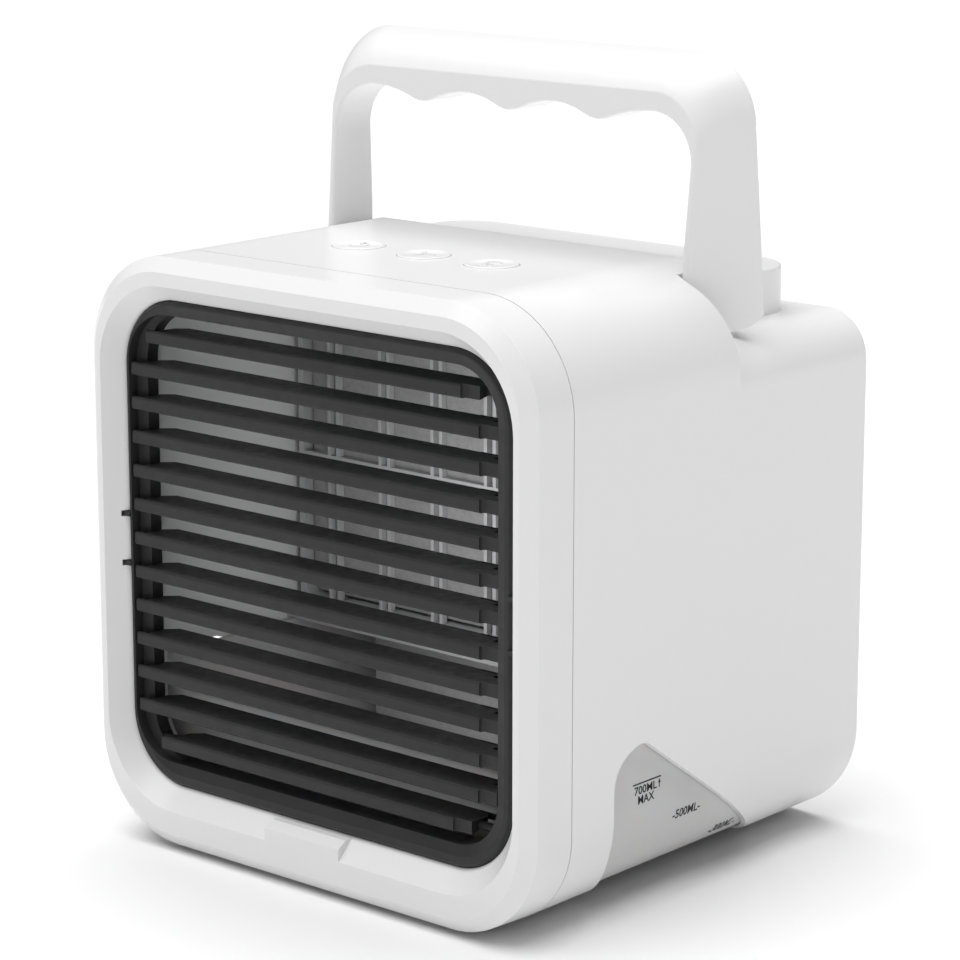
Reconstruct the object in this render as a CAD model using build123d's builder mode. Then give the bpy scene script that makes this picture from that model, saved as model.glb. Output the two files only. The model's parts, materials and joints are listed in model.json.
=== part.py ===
from build123d import *
import os
from math import cos, radians, sin, sqrt

# Personal evaporative air cooler. Millimetres, +Z up, air leaves the front face towards -Y.
# Heights are measured from the casing's underside and setbacks from its front face.

# Casing
width = 165.0
depth = 150.0
body_height = 171.0
corner_radius = 30.0
lower_radius = 28.5
wall = 2.5
floor_wall = 1.4
floor_radius = 24.8
foot_height = 1.5
seam_setback = 17.0
seam_gap = 0.35

# Front bezel and the recess round the louvre frame
edge_inset = 4.0
edge_depth = 3.3
recess_depth = 6.0
recess_half = 76.5
recess_low = 10.8
recess_high = 163.1
recess_radius = 25.0
pad_half = 14.0

# Louvre frame and its window
frame_half = 71.7
frame_low = 17.0
frame_high = 158.1
frame_radius = 20.0
frame_front = 5.0
frame_back = 13.0
window_half = 66.4
window_low = 23.2
window_high = 153.8
window_radius = 14.5
snap_heights = (80.0, 94.5)
window_bevel = 3.0
bevel_drop = 1.0
relief_half = 70.0
relief_deep = 8.2
relief_end = 8.9

# Louvres and the bar that links them
louvre_count = 13
louvre_lowest = 28.5
louvre_highest = 147.0
louvre_setback = 10.4
louvre_swing = 4.3
nose_radius = 0.7
nose_reach = 4.4
nose_top = 1.15
nose_low = -1.25
nose_overhang = 3.4
tail_radius = 0.6
tail_reach = 6.0
tail_rise = 0.8
pivot_radius = 1.2
pivot_bore_radius = 1.25
pivot_end = 69.0
crank_reach = 5.6
crank_rise = 0.7
crank_radius = 0.9
crank_start = 52.0
link_inner = 60.2
link_outer = 62.2

# Shoulders, ledges and the raised block between the handle's legs
shoulder_setback = 83.2
shoulder_flare = 5.8
flare_start = 67.5
ledge_height = 151.6
ledge_radius = 14.0
block_half = 64.2
block_rear = 142.0
block_radius = 15.0
crown_start = 94.0
crown_end = 116.5
crown_drop = 6.0

# Carrying handle
handle_pivot_setback = 94.75
handle_pivot_height = 160.0
handle_thickness = 15.5
handle_top = 227.6
leg_inner = 65.0
leg_outer = 80.8
leg_lean = 4.4
foot_front = 83.9
grip_low = 208.0
lobe_pitch = 32.4
hinge_pin_radius = 2.5

# Side windows and water tank
tank_half = 79.7
tank_low = 1.7
tank_high = 47.0
tank_front = 20.0
tank_wall = 2.2
tank_radius = 24.5

# Air path
divider_low = 47.5
divider_high = 49.5
cassette_half = 76.0
cassette_front = 80.0
cassette_back = 96.0
cassette_low = 49.5
cassette_high = 146.0
fan_height = 98.0
fan_radius = 45.0
ring_radius = 46.5
shroud_setback = 100.0
panel_front = 146.8
panel_back = 149.6
screw_places = ((76, 60), (-76, 60), (76, 130), (-76, 130))

# Buttons
button_pitch = 24.7
button_setback = 52.0
button_radius = 7.5
button_names = ("power_button", "speed_button", "light_button")

front_y = -depth / 2
half_width = width / 2
inner_half = half_width - wall
inner_radius = corner_radius - wall
ledge_under = ledge_height - wall
handle_front = handle_pivot_setback - handle_thickness / 2
handle_back = handle_pivot_setback + handle_thickness / 2
louvre_pitch = (louvre_highest - louvre_lowest) / (louvre_count - 1)
louvre_heights = [louvre_highest - louvre_pitch * step for step in range(louvre_count)]
button_places = [button_pitch * side for side in (-1, 0, 1)]


def upright(setback):
    """A plane facing forward; its y axis is the height over the underside."""
    origin = (0, front_y + setback, foot_height)
    return Plane(origin=origin, x_dir=(1, 0, 0), z_dir=(0, -1, 0))


def level(height):
    """A horizontal plane; its y axis is the setback from the front face."""
    return Plane(origin=(0, front_y, foot_height + height))


def sideways(x):
    """A plane facing +X; its axes are setback and height."""
    origin = (x, front_y, foot_height)
    return Plane(origin=origin, x_dir=(0, 1, 0), z_dir=(1, 0, 0))


def panel(half, low, high, radius, mode=Mode.ADD):
    """A rounded rectangle centred on the object, between two heights."""
    with Locations((0, (low + high) / 2)):
        RectangleRounded(2 * half, high - low, radius, mode=mode)


def slab(half, near, far, mode=Mode.ADD):
    """A plain rectangle centred on the object, from near to far along the plane's y axis."""
    with Locations((0, (near + far) / 2)):
        Rectangle(2 * half, far - near, mode=mode)


def shell_profile(half, low, high, low_radius, high_radius):
    """An upright section whose lower and upper corners have radii of their own."""
    with BuildSketch(Plane.XY, mode=Mode.PRIVATE) as profile:
        slab(half, low, high)
        fillet(profile.vertices().group_by(Axis.Y)[0], low_radius)
        fillet(profile.vertices().group_by(Axis.Y)[-1], high_radius)
    return profile.sketch


def window_reach(height):
    """Half the width of the louvre frame's window at a height."""
    above = height - (window_high - window_radius)
    below = (window_low + window_radius) - height
    rise = max(above, below, 0)
    return window_half - window_radius + sqrt(window_radius**2 - rise**2)


def keep(piece, name):
    """Label a finished piece and write it to its own file."""
    piece.part.label = name
    export_step(piece.part, f"parts/{name}.step")


os.makedirs("parts", exist_ok=True)

# Front bezel: chamfered outside, sloping in to the louvre frame, hollow behind
with BuildPart() as front_bezel:
    with BuildSketch(upright(0)):
        panel(half_width - edge_inset, edge_inset, body_height - edge_inset, corner_radius - edge_inset)
    with BuildSketch(upright(edge_depth)):
        panel(half_width, 0, body_height, corner_radius)
    loft(ruled=True)
    with BuildSketch(upright(edge_depth)):
        panel(half_width, 0, body_height, corner_radius)
    with BuildSketch(upright(seam_setback)):
        add(shell_profile(half_width, 0, body_height, lower_radius, corner_radius))
    loft(ruled=True)
    with BuildSketch(upright(seam_setback)):
        panel(inner_half, wall, body_height - wall, inner_radius)
        panel(frame_half + 2.5, frame_low - 2.7, frame_high + 2.7, frame_radius + 2.7, Mode.SUBTRACT)
    extrude(amount=seam_setback - 9.5, mode=Mode.SUBTRACT)
    with BuildSketch(upright(0)):
        panel(recess_half, recess_low, recess_high, recess_radius)
    with BuildSketch(upright(recess_depth)):
        panel(frame_half + 0.25, frame_low - 0.25, frame_high + 0.25, frame_radius + 0.25)
    loft(ruled=True, mode=Mode.SUBTRACT)
    with BuildSketch(upright(recess_depth)):
        panel(frame_half + 0.25, frame_low - 0.25, frame_high + 0.25, frame_radius + 0.25)
    extrude(amount=recess_depth - frame_back, mode=Mode.SUBTRACT)
    with BuildSketch(upright(frame_back)):
        panel(window_half + 3, window_low - 3, window_high + 3, window_radius + 3)
    extrude(amount=frame_back - seam_setback, mode=Mode.SUBTRACT)
    # Bare raised pad below the louvres
    with BuildSketch(sideways(0)):
        with BuildLine():
            Polyline((0, recess_low - 2), (0, 14.4), (3.2, 16.2), (6, 16.2), (6, recess_low - 2), close=True)
        make_face()
    extrude(amount=pad_half, both=True)
    # Slots for the frame's snap tabs
    for side in (-1, 1):
        for height in snap_heights:
            with BuildSketch(upright(4)):
                with Locations((side * (frame_half + 1), height)):
                    Rectangle(3.4, 1.7)
            extrude(amount=-5, mode=Mode.SUBTRACT)
    # Lip that locates the bezel inside the casing
    with BuildSketch(upright(seam_setback)):
        panel(inner_half - 0.1, wall + 0.1, body_height - wall - 0.1, inner_radius - 0.1)
        panel(inner_half - 1.8, wall + 1.8, body_height - wall - 1.8, inner_radius - 1.8, Mode.SUBTRACT)
    extrude(amount=-2.5)
    with BuildSketch(upright(seam_setback)):
        panel(inner_half + 0.5, wall - 0.5, body_height - wall + 0.5, inner_radius + 0.5)
        panel(inner_half - 1.8, wall + 1.8, body_height - wall - 1.8, inner_radius - 1.8, Mode.SUBTRACT)
    extrude(amount=2.5)
keep(front_bezel, "front_bezel")

# Louvre frame: a snap-in frame with a pivot bore for each end of each louvre
with BuildPart() as louvre_frame:
    with BuildSketch(upright(frame_front)):
        panel(frame_half, frame_low, frame_high, frame_radius)
        panel(window_half, window_low, window_high, window_radius, Mode.SUBTRACT)
    extrude(amount=frame_front - frame_back)
    front_face = louvre_frame.faces().sort_by(Axis.Y)[0]
    chamfer(front_face.outer_wire().edges(), 0.9)
    # The inner border slopes in to the window
    with BuildSketch(upright(frame_front)):
        bevel = window_bevel
        panel(window_half + bevel, window_low - bevel, window_high + bevel, window_radius + bevel)
    with BuildSketch(upright(frame_front + bevel_drop)):
        panel(window_half, window_low, window_high, window_radius)
    loft(ruled=True, mode=Mode.SUBTRACT)
    # On the left the border is cut back for the louvres' noses
    for near, far, start, end in (
        (frame_front - 1, relief_deep, relief_half, relief_half),
        (relief_deep, relief_end, relief_half, window_half),
    ):
        for setback, half in ((near, start), (far, end)):
            with BuildSketch(upright(setback)):
                with Locations((-(half + 10) / 2, (window_low + window_high) / 2)):
                    RectangleRounded(half - 10, window_high - window_low, window_radius)
        loft(ruled=True, mode=Mode.SUBTRACT)
    for side in (-1, 1):
        for height in snap_heights:
            with BuildSketch(upright(4.6)):
                with Locations((side * (frame_half + 0.5), height)):
                    Rectangle(3.0, 1.3)
            extrude(amount=-3.2)
    with BuildSketch(sideways(0)):
        for height in louvre_heights:
            with Locations((louvre_setback, height)):
                Circle(pivot_bore_radius)
    extrude(amount=pivot_end + 0.5, both=True, mode=Mode.SUBTRACT)
keep(louvre_frame, "louvre_frame")

# Louvres: a tall blunt nose, a thin tail, a pivot stub at each end and a crank pin for the link bar
for number, height in enumerate(louvre_heights, 1):
    reach = min(window_reach(height + louvre_swing), window_reach(height - louvre_swing)) - 0.4
    with BuildPart() as louvre:
        with BuildSketch(sideways(0)):
            for level_of in (height + nose_top, height + nose_low):
                with Locations((louvre_setback - nose_reach, level_of)):
                    Circle(nose_radius)
            with Locations((louvre_setback + tail_reach, height + tail_rise)):
                Circle(tail_radius)
            make_hull()
        extrude(amount=reach, both=True)
        # The nose runs on over the frame's border on the left
        with BuildSketch(sideways(-reach + 1)):
            with Locations((louvre_setback - nose_reach, height + (nose_top + nose_low) / 2)):
                SlotCenterToCenter(nose_top - nose_low, 2 * nose_radius, rotation=90)
        extrude(amount=-1 - nose_overhang)
        # The tail is cut back at both corners, and opened round the link bar
        for side in (-1, 1):
            with BuildSketch(level(height - 4)):
                with BuildLine():
                    Polyline(
                        (side * (reach - 5), louvre_setback + 9),
                        (side * (reach + 1), louvre_setback + 9),
                        (side * (reach + 1), louvre_setback + 1.5),
                        close=True,
                    )
                make_face()
            extrude(amount=8, mode=Mode.SUBTRACT)
        with BuildSketch(level(height - 4)):
            with Locations(((link_inner + link_outer) / 2, louvre_setback + 5.7)):
                Rectangle(link_outer - link_inner + 2, 8)
        extrude(amount=8, mode=Mode.SUBTRACT)
        # The nose is set back at the right-hand end
        with BuildSketch(level(height - 4)):
            with Locations((reach, louvre_setback - nose_reach - nose_radius)):
                RectangleRounded(11, 2.6, 1.2)
        extrude(amount=8, mode=Mode.SUBTRACT)
        with BuildSketch(sideways(0)):
            with Locations((louvre_setback, height)):
                Circle(pivot_radius)
        extrude(amount=pivot_end, both=True)
        with BuildSketch(sideways(crank_start)):
            with Locations((louvre_setback + crank_reach, height + crank_rise)):
                Circle(crank_radius)
        extrude(amount=link_outer + 0.5 - crank_start)
    keep(louvre, f"louvre_{number:02d}")

with BuildPart() as louvre_link:
    crank_setback = louvre_setback + crank_reach
    with BuildSketch(sideways(link_inner)):
        with Locations((crank_setback, (louvre_lowest + louvre_highest) / 2 + crank_rise)):
            SlotCenterToCenter(louvre_highest - louvre_lowest, 3.2, rotation=90)
        for height in louvre_heights:
            with Locations((crank_setback, height + crank_rise)):
                Circle(crank_radius + 0.05, mode=Mode.SUBTRACT)
    extrude(amount=link_outer - link_inner)
keep(louvre_link, "louvre_link")

# Raised block between the handle's legs, falling away to the rear
with BuildPart() as raised_block:
    with BuildSketch(upright(shoulder_setback - 1)):
        panel(half_width, 0, body_height, corner_radius)
    extrude(amount=shoulder_setback - 1 - block_rear)
    with BuildSketch(level(ledge_height - 2)) as block_plan:
        slab(block_half, shoulder_setback - 1, block_rear)
        fillet(block_plan.vertices().group_by(Axis.Y)[-1], block_radius)
    extrude(amount=body_height, mode=Mode.INTERSECT)
    with BuildSketch(sideways(0)):
        with BuildLine():
            low = body_height - crown_drop
            level_on = ((1, 0), (1, 0))
            Spline((crown_start, body_height), (crown_end, low), tangents=level_on)
            Polyline((crown_end, low), (block_rear + 1, low), (block_rear + 1, body_height + 5))
            Polyline((block_rear + 1, body_height + 5), (crown_start, body_height + 5), (crown_start, body_height))
        make_face()
    extrude(amount=half_width, both=True, mode=Mode.SUBTRACT)
    rim = raised_block.edges().filter_by_position(Axis.Y, front_y + block_rear - 0.5, front_y + block_rear + 1)
    fillet(rim.filter_by_position(Axis.Z, foot_height + 158, foot_height + 175), 1.2)

# Main casing: open at the back for the fan panel and, below it, the tank
with BuildPart() as main_housing:
    with BuildSketch(upright(seam_setback + seam_gap)):
        add(shell_profile(half_width, 0, body_height, lower_radius, corner_radius))
    extrude(amount=seam_setback + seam_gap - shoulder_setback - shoulder_flare)
    with BuildSketch(level(ledge_height - 20)):
        for side in (-1, 1):
            with BuildLine():
                flare_end = shoulder_setback + shoulder_flare
                Polyline(
                    (0, shoulder_setback),
                    (side * flare_start, shoulder_setback),
                    (side * (half_width + 1), flare_end),
                    (side * (half_width + 1), flare_end + 2),
                    (0, flare_end + 2),
                    close=True,
                )
            make_face()
    extrude(amount=60, mode=Mode.SUBTRACT)
    with BuildSketch(upright(shoulder_setback)):
        add(shell_profile(half_width, 0, ledge_height, lower_radius, ledge_radius))
    extrude(amount=shoulder_setback - depth)
    fillet(main_housing.faces().sort_by(Axis.Y)[-1].edges(), 2.0)
    add(raised_block.part)
    with BuildSketch(upright(seam_setback)):
        add(shell_profile(inner_half, floor_wall, body_height - wall, floor_radius, inner_radius))
    extrude(amount=seam_setback - (shoulder_setback - wall), mode=Mode.SUBTRACT)
    with BuildSketch(upright(shoulder_setback - wall)):
        add(shell_profile(inner_half, floor_wall, ledge_under, floor_radius, ledge_radius - wall))
    extrude(amount=shoulder_setback - wall - depth, mode=Mode.SUBTRACT)
    with BuildSketch(level(ledge_under - 5)) as block_cavity:
        slab(block_half - wall, shoulder_setback - wall - 1, block_rear - wall)
        fillet(block_cavity.vertices().group_by(Axis.Y)[-1], block_radius - wall)
    extrude(amount=18, mode=Mode.SUBTRACT)
    # Fin-shaped windows onto the tank, one in each lower side
    for side in (-1, 1):
        with BuildSketch(sideways(side * 50)):
            with BuildLine():
                Polyline((118, -1), (118, 0), (50.6, 46.5))
                ThreePointArc((50.6, 46.5), (47.4, 47.7), (42.9, 46.8))
                ThreePointArc((42.9, 46.8), (38.0, 43.8), (35, 36))
                Line((35, 36), (35, 23))
                ThreePointArc((35, 23), (36.6, 13), (42, 4))
                Polyline((42, 4), (47, -1), (118, -1))
            make_face()
        extrude(amount=side * 40, mode=Mode.SUBTRACT)
    with BuildSketch(level(body_height - 8)):
        for x in button_places:
            with Locations((x, button_setback)):
                Circle(button_radius + 0.35)
    extrude(amount=12, mode=Mode.SUBTRACT)
    # Posts that carry the control board
    with BuildSketch(level(158.6)):
        for x in (-34, 34):
            with Locations((x, 44), (x, 60)):
                Circle(2.2)
    extrude(amount=body_height - wall - 158.6)
    # Bosses for the casing screws
    with BuildSketch(upright(132)):
        with Locations(*screw_places):
            Rectangle(9, 8)
            Circle(1.4, mode=Mode.SUBTRACT)
    extrude(amount=132 - panel_front)
    with BuildSketch(sideways(0)):
        with Locations((handle_pivot_setback, handle_pivot_height)):
            Circle(hinge_pin_radius)
    extrude(amount=half_width, both=True, mode=Mode.SUBTRACT)
keep(main_housing, "main_housing")

# Rear panel with its air intake
with BuildPart() as rear_panel:
    with BuildSketch(upright(panel_front)):
        add(shell_profile(inner_half - 0.1, 47.5, ledge_under - 0.1, 1.0, ledge_radius - wall - 0.1))
    extrude(amount=panel_front - panel_back)
    with BuildSketch(upright(panel_front)):
        for step in range(15):
            drop = 42 - 6 * step
            half = sqrt(46.0**2 - drop**2)
            with Locations((0, fan_height + drop)):
                SlotOverall(2 * half, 3.2)
    extrude(amount=-5, mode=Mode.SUBTRACT)
    with BuildSketch(upright(panel_front)):
        with Locations(*screw_places):
            Circle(1.7)
    extrude(amount=-5, mode=Mode.SUBTRACT)
    with BuildSketch(upright(148.2)):
        with Locations(*screw_places):
            Circle(3.1)
    extrude(amount=-5, mode=Mode.SUBTRACT)
    with BuildSketch(upright(panel_front)):
        with Locations((62, 56)):
            Circle(4.6)
    extrude(amount=-5, mode=Mode.SUBTRACT)
keep(rear_panel, "rear_panel")

with BuildPart() as case_screws:
    with BuildSketch(upright(136)):
        with Locations(*screw_places):
            Circle(1.4)
    extrude(amount=136 - 148.2)
    with BuildSketch(upright(148.2)):
        with Locations(*screw_places):
            Circle(2.8)
            RegularPolygon(1.2, 4, mode=Mode.SUBTRACT)
    extrude(amount=-1.2)
keep(case_screws, "case_screws")

with BuildPart() as power_socket:
    with BuildSketch(upright(136)):
        with Locations((62, 56)):
            RectangleRounded(11, 11, 1)
    extrude(amount=136 - panel_front)
    with BuildSketch(upright(panel_front)):
        with Locations((62, 56)):
            Circle(4.5)
    extrude(amount=panel_front - 149.4)
    with BuildSketch(upright(149.4)):
        with Locations((62, 56)):
            Circle(2.8)
            Circle(1.0, mode=Mode.SUBTRACT)
    extrude(amount=9, mode=Mode.SUBTRACT)
keep(power_socket, "power_socket")

# Floor between the tank and the fan chamber, with a slot for the transfer pad
with BuildPart() as divider_floor:
    with BuildSketch(level(divider_low)):
        slab(inner_half, 78, panel_front)
        slab(62, 83.8, 92.2, Mode.SUBTRACT)
        with Locations((76, 139.4), (-76, 139.4)):
            Rectangle(1, 1, mode=Mode.SUBTRACT)
    extrude(amount=divider_high - divider_low)
keep(divider_floor, "divider_floor")

# Filter cassette: open frame with paired ribs across its front
with BuildPart() as filter_cassette:
    with BuildSketch(upright(cassette_front)):
        panel(cassette_half, cassette_low, cassette_high, 6)
        panel(cassette_half - 2, cassette_low + 6, cassette_high - 2, 4, Mode.SUBTRACT)
    extrude(amount=cassette_front - cassette_back)
    with BuildSketch(upright(cassette_front)):
        for step in range(-3, 4):
            for offset in (-1.7, 1.7):
                with Locations((20.6 * step + offset, (cassette_low + cassette_high) / 2 + 2)):
                    Rectangle(1.2, cassette_high - cassette_low - 6)
        for height in (98.0, 144.0):
            slab(cassette_half - 1, height - 2, height + 2)
    extrude(amount=-2)
    with BuildSketch(level(cassette_low)):
        slab(62, 84, 92)
    extrude(amount=8, mode=Mode.SUBTRACT)
keep(filter_cassette, "filter_cassette")

with BuildPart() as wick_pad:
    with BuildSketch(upright(cassette_front + 2.2)):
        panel(cassette_half - 2.2, cassette_low + 6.2, cassette_high - 2.2, 3.8)
    extrude(amount=cassette_front + 2.2 - cassette_back)
keep(wick_pad, "wick_pad")

with BuildPart() as transfer_pad:
    with BuildSketch(level(divider_low)):
        slab(61.5, 84.2, 91.8)
    extrude(amount=cassette_low + 6 - divider_low)
keep(transfer_pad, "transfer_pad")

# Water tank: a clear drawer that slides out to the rear
with BuildPart() as water_tank:
    with BuildSketch(upright(tank_front)):
        panel(tank_half, tank_low, 140, tank_radius)
    extrude(amount=tank_front - depth + 0.2)
    with BuildSketch(upright(tank_front + tank_wall)):
        panel(tank_half - tank_wall, tank_low + tank_wall, 140, tank_radius - tank_wall)
    extrude(amount=tank_front + 2 * tank_wall - depth, mode=Mode.SUBTRACT)
    with BuildSketch(level(tank_high)):
        slab(half_width, 0, depth + 10)
    extrude(amount=120, mode=Mode.SUBTRACT)
    # Finger notch in the rear wall
    with BuildSketch(upright(depth - 8)):
        with Locations((0, tank_high)):
            SlotOverall(44, 16)
    extrude(amount=-12, mode=Mode.SUBTRACT)
    # Clips that hold the wick upright on the tank's floor
    with BuildSketch(level(tank_low + tank_wall)):
        for x in (-30, 30):
            with Locations((x, 83.4), (x, 92.6)):
                Rectangle(12, 1.6)
    extrude(amount=14)
keep(water_tank, "water_tank")

with BuildPart() as tank_wick:
    with BuildSketch(level(tank_low + tank_wall)):
        slab(50, 84.2, 91.8)
    extrude(amount=divider_low - 0.35 - tank_low - tank_wall)
keep(tank_wick, "tank_wick")

# Fan: shroud, motor, shaft and impeller
with BuildPart() as fan_shroud:
    with BuildSketch(upright(shroud_setback)):
        add(shell_profile(inner_half, divider_high, ledge_under - 0.1, 1.0, ledge_radius - wall + 0.4))
        with Locations((0, fan_height)):
            Circle(ring_radius, mode=Mode.SUBTRACT)
    extrude(amount=-2.4)
    with BuildSketch(upright(shroud_setback)):
        with Locations((0, fan_height)):
            Circle(ring_radius + 1.8)
            Circle(ring_radius, mode=Mode.SUBTRACT)
    extrude(amount=-22)
keep(fan_shroud, "fan_shroud")

with BuildPart() as motor_bracket:
    with BuildSketch(upright(133)):
        with Locations((0, fan_height)):
            Circle(17)
            for angle in (45, 135):
                Rectangle(2 * (ring_radius + 10), 6, rotation=angle)
            Circle(4.2, mode=Mode.SUBTRACT)
    extrude(amount=-2.5)
    with BuildSketch(upright(135.5)):
        with Locations((0, fan_height)):
            with PolarLocations(ring_radius + 7, 4, start_angle=45):
                Circle(3)
    extrude(amount=135.5 - panel_front)
keep(motor_bracket, "motor_bracket")

with BuildPart() as fan_motor:
    with BuildSketch(upright(121)):
        with Locations((0, fan_height)):
            Circle(13.5)
    extrude(amount=-12)
    fillet(fan_motor.edges().filter_by(GeomType.CIRCLE), 1.2)
    with BuildSketch(upright(133)):
        with Locations((0, fan_height)):
            Circle(4.2)
    extrude(amount=-3.5)
    with BuildSketch(upright(120)):
        with Locations((0, fan_height)):
            Circle(1.55)
    extrude(amount=-12, mode=Mode.SUBTRACT)
keep(fan_motor, "fan_motor")

with BuildPart() as fan_shaft:
    with BuildSketch(upright(107)):
        with Locations((0, fan_height)):
            Circle(1.5)
    extrude(amount=107 - 131.5)
keep(fan_shaft, "fan_shaft")

blade_root = 14.0
blade_chord = 20.0
with BuildPart() as fan_impeller:
    with BuildSketch(upright(104)):
        with Locations((0, fan_height)):
            Circle(16)
    extrude(amount=-15)
    fillet(fan_impeller.faces().sort_by(Axis.Y)[0].edges(), 3)
    with BuildSketch(upright(107)):
        with Locations((0, fan_height)):
            Circle(14.2)
            Circle(4, mode=Mode.SUBTRACT)
    extrude(amount=-13, mode=Mode.SUBTRACT)
    with BuildSketch(upright(107)):
        with Locations((0, fan_height)):
            Circle(1.5)
    extrude(amount=-13, mode=Mode.SUBTRACT)
    for step in range(7):
        angle = radians(360 * step / 7)
        outward = Vector(cos(angle), 0, sin(angle))
        centre = Vector(0, front_y + 111, foot_height + fan_height)
        for distance, twist in ((15.0, 48), (fan_radius - 0.5, 24)):
            place = centre + outward * distance
            with BuildSketch(Plane(origin=place, x_dir=(0, 1, 0), z_dir=outward)):
                chord = blade_chord * (0.62 if distance < 20 else 1.0)
                Ellipse(chord / 2, 0.9, rotation=90 - twist)
        loft()
keep(fan_impeller, "fan_impeller")

# Buttons, the switches under them and their board
for name, x in zip(button_names, button_places):
    with BuildPart() as button:
        with BuildSketch(level(168.1)):
            with Locations((x, button_setback)):
                Circle(button_radius)
        extrude(amount=171.4 - 168.1)
        fillet(button.faces().sort_by(Axis.Z)[-1].edges(), 0.6)
        with BuildSketch(level(166.9)):
            with Locations((x, button_setback)):
                Circle(8.9)
        extrude(amount=1.2)
        with BuildSketch(level(163.3)):
            with Locations((x, button_setback)):
                Circle(2)
        extrude(amount=3.6)
    keep(button, name)

with BuildPart() as control_board:
    with BuildSketch(level(157)):
        slab(38, 40, 64)
        with Locations((-28, 60), (28, 60)):
            Circle(0.8, mode=Mode.SUBTRACT)
    extrude(amount=1.6)
    with BuildSketch(level(155)):
        with Locations((-12, 59), (12, 59)):
            Rectangle(6, 4)
    extrude(amount=2)
keep(control_board, "control_board")

with BuildPart() as button_switches:
    for x in button_places:
        with BuildSketch(level(158.6)):
            with Locations((x, button_setback)):
                RectangleRounded(6, 6, 0.5)
        extrude(amount=3.0)
        with BuildSketch(level(161.6)):
            with Locations((x, button_setback)):
                Circle(1.6)
        extrude(amount=0.8)
keep(button_switches, "button_switches")

# Carrying handle: slim in front and full width behind, with round feet and three finger lobes
handle_sections = (
    (handle_front, leg_inner + 1.9, leg_inner + 2.2, handle_top - 10.5, 15.0),
    (handle_pivot_setback, 73.6, 72.0, handle_top - 3.4, 17.0),
    (handle_back, leg_outer, 76.5, handle_top, 20.0),
)
lean_level = 207
lean = Plane(
    origin=(0, front_y + handle_front, foot_height + lean_level),
    x_dir=(1, 0, 0),
    z_dir=(0, -cos(radians(leg_lean)), sin(radians(leg_lean))),
)
with BuildPart() as handle:
    for setback, low_half, high_half, top, corner in handle_sections:
        front = setback == handle_front
        with BuildSketch(lean if front else upright(setback)):
            with BuildLine():
                drop = lean_level if front else 0
                low, top = 150 - drop, top - drop
                Polyline((0, low), (low_half, low), (low_half, low + 8), (high_half, top - corner))
                RadiusArc((high_half, top - corner), (high_half - corner, top), -corner)
                Polyline((high_half - corner, top), (0, top))
                mirror(about=Plane.YZ)
            make_face()
    loft()
    with BuildSketch(upright(handle_front - 6)):
        with BuildLine():
            lobe_edge = 4.5
            lobe_rise = 1.0
            scallop_rise = 2.6
            low = grip_low + lobe_rise
            groove = low + scallop_rise
            TangentArc((0, grip_low), (lobe_edge, low), tangent=(1, 0))
            ThreePointArc((lobe_edge, low), (lobe_pitch / 2, groove), (lobe_pitch - lobe_edge, low))
            next_low = (lobe_pitch + lobe_edge, low)
            ThreePointArc((lobe_pitch - lobe_edge, low), (lobe_pitch, grip_low), next_low)
            corner = (51.6, groove)
            TangentArc(corner, next_low, tangent=(-1, 0))
            RadiusArc(corner, (leg_inner + 0.6, groove - 14), 14)
            Polyline((leg_inner + 0.6, groove - 14), (leg_inner, 175), (leg_inner, 145), (0, 145))
            mirror(about=Plane.YZ)
        make_face()
    extrude(amount=-handle_thickness - 7, mode=Mode.SUBTRACT)
    # Rounded edges, softer where the fingers meet them
    for face, finger_radius, outer_radius in ((lean, 1.0, 0), (upright(handle_back), 1.5, 0.5)):
        edges = [edge for edge in handle.edges() if abs((edge.center() - face.origin).dot(face.z_dir)) < 0.02]
        finger_edges = [
            edge
            for edge in edges
            if abs(edge.center().X) < leg_inner + 0.7 and edge.center().Z < foot_height + handle_top - 13
        ]
        outer_edges = [edge for edge in edges if edge not in finger_edges and edge.center().Z > 154]
        fillet(finger_edges, finger_radius)
        if outer_radius:
            fillet(outer_edges, outer_radius)
    # Round feet about the hinge
    with BuildSketch(sideways(0)):
        with Locations((handle_pivot_setback, handle_pivot_height)):
            Circle(handle_thickness / 2)
        with Locations(((foot_front + handle_back) / 2, 166.5)):
            Rectangle(handle_back - foot_front, 1)
        make_hull()
        with Locations((handle_pivot_setback, 206.5)):
            Rectangle(2 * (handle_back - handle_pivot_setback) + 16, 80)
        with Locations((handle_back + 5, 206.5)):
            Rectangle(10, 90, mode=Mode.SUBTRACT)
    extrude(amount=half_width, both=True, mode=Mode.INTERSECT)
    with BuildSketch(sideways(0)):
        with Locations((handle_pivot_setback, handle_pivot_height)):
            Circle(hinge_pin_radius + 0.06)
    extrude(amount=70.4, both=True, mode=Mode.SUBTRACT)
keep(handle, "handle")

with BuildPart() as handle_pins:
    for side in (-1, 1):
        with BuildSketch(sideways(side * 58)):
            with Locations((handle_pivot_setback, handle_pivot_height)):
                Circle(hinge_pin_radius)
        extrude(amount=side * 12)
keep(handle_pins, "handle_pins")

with BuildPart() as rubber_feet:
    with BuildSketch(Plane.XY):
        for x in (-42, 42):
            with Locations((x, front_y + 26), (x, front_y + 124)):
                Circle(6)
    extrude(amount=foot_height)
    fillet(rubber_feet.faces().group_by(Axis.Z)[0].edges(), 0.4)
keep(rubber_feet, "rubber_feet")
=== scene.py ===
"""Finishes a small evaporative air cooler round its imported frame.

Every moulding gets its material. The buttons, felt, screws and feet are modelled anew, and the
level marks are printed on the tank.
"""

import json
import math

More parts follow.
